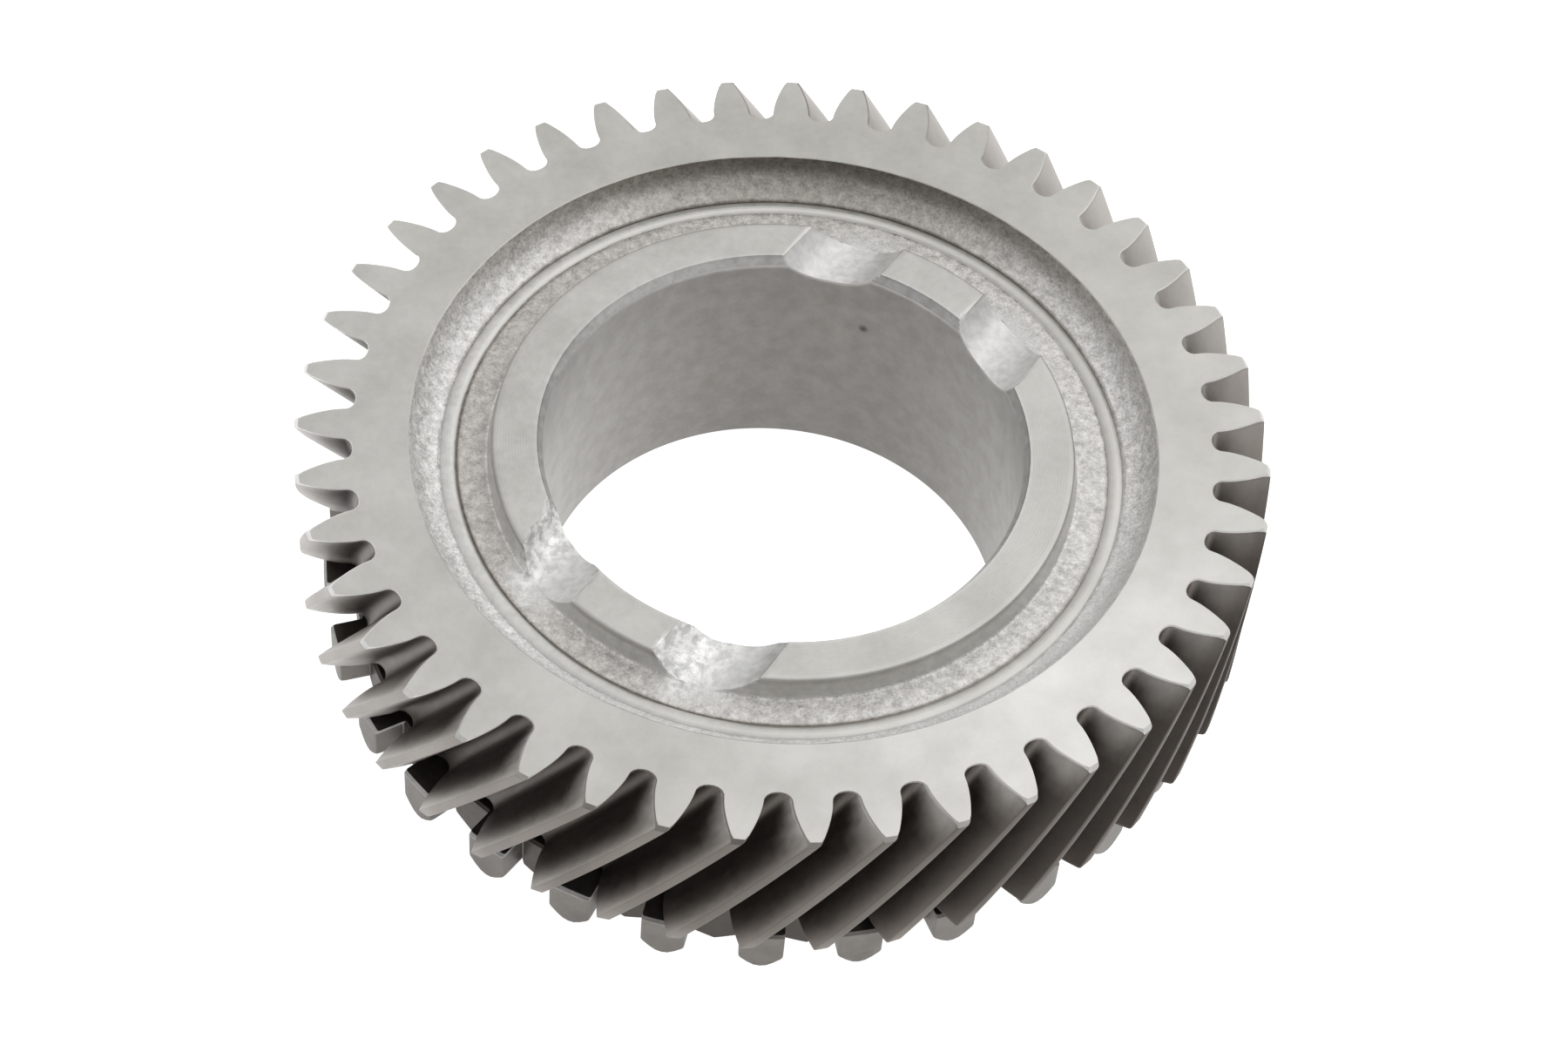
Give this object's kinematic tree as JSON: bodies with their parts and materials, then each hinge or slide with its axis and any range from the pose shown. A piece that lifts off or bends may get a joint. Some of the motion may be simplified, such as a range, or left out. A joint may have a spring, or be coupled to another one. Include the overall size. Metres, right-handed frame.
{
  "type": "helical speed gear",
  "caption": "Right-hand helical transmission gear with a recessed upper face, notched hub land, plain bearing bore and a ring of pointed clutch teeth above a short synchroniser cone.",
  "frame": {"origin": "on the bore axis, in the plane of the lower (cone) end face the gear rests on", "axes": "+Z along the bore axis, up towards the recessed face; the picture looks from about -Y"},
  "size_m": [0.12, 0.12, 0.0372],
  "materials": {
    "steel": "machined faces, darker ground teeth, forged recess"
  },
  "bodies": {
    "root": {"gear": "steel"}
  },
  "joints": []
}
